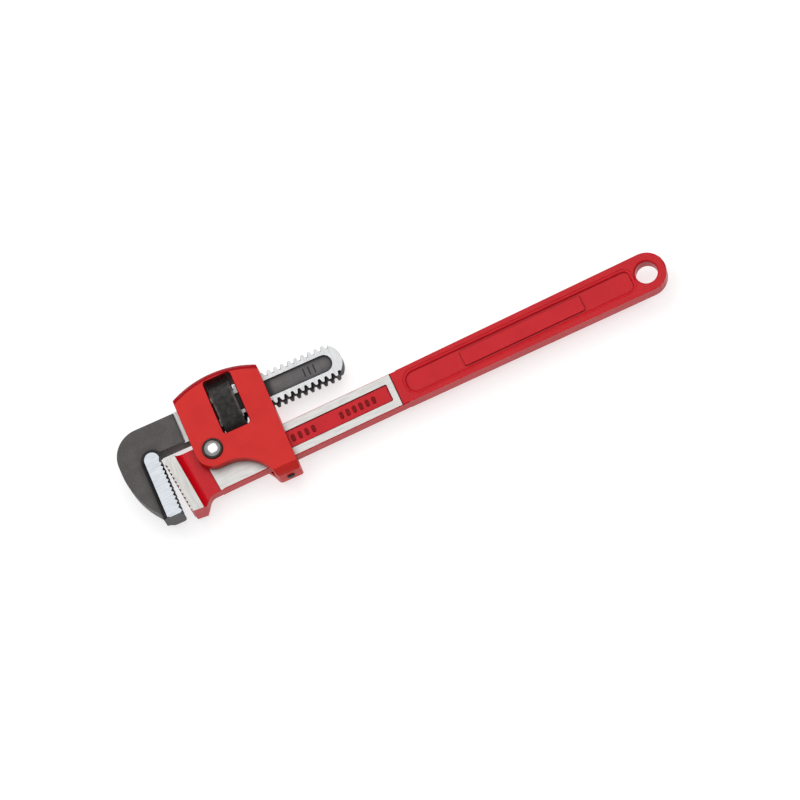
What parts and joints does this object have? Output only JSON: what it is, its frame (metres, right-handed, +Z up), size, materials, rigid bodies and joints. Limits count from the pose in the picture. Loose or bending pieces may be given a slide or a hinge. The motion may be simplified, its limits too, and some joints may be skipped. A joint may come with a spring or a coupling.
{
  "type": "pipe wrench",
  "caption": "Adjustable pipe wrench: flat forged handle with fixed heel jaw, sliding hook jaw on a flat threaded shank, rocking frame with nut window, and hanging eye.",
  "frame": {"origin": "middle of the base of the whole wrench lying on its side, jaw closed to its rest gap", "axes": "+X along the handle from the jaws to the hanging eye, -Y is the way the jaws open, +Z up through the wrench's thickness"},
  "size_m": [0.401, 0.09, 0.037],
  "materials": {
    "handle_paint": "gloss enamel with ground steel side panels and tooth pad",
    "frame_paint": "satin gloss enamel",
    "black_forging": "black satin forging with ground teeth and thread flats",
    "blackened_steel": "blackened, knurled",
    "polished_rivet": "polished",
    "spring_steel": "tempered"
  },
  "bodies": {
    "handle_body": {"handle": "handle_paint"},
    "frame_body": {"frame": "frame_paint", "pivot_rivet": "polished_rivet", "frame_spring": "spring_steel", "frame_spring_rivet": "blackened_steel", "jaw_spring": "spring_steel", "jaw_spring_rivet": "blackened_steel"},
    "hook_body": {"hook_jaw": "black_forging"},
    "nut_body": {"adjusting_nut": "blackened_steel"}
  },
  "joints": [
    {"name": "frame_rock", "type": "hinge", "parent": "handle_body", "child": "frame_body", "pos_m": [-0.13584, -0.00658, 0.0185], "axis": [0, 0, 1], "range_deg": [0, 2.5], "stiffness_Nm_per_rad": 10, "springref_deg": -6.88, "deforming": ["frame_spring"]},
    {"name": "jaw_slide", "type": "slide", "parent": "frame_body", "child": "hook_body", "axis": [-0.9998, 0.0218, 0], "range_m": [-0.0018, 0.056]},
    {"name": "nut_spin", "type": "hinge", "parent": "frame_body", "child": "nut_body", "pos_m": [-0.11471, 0.01966, 0.0185], "axis": [-0.9998, 0.0218, 0], "range_deg": [-4000, 150]}
  ],
  "couplings": [
    {"joint": "nut_spin", "follows": "jaw_slide", "rad_per_m": -1236.8}
  ]
}
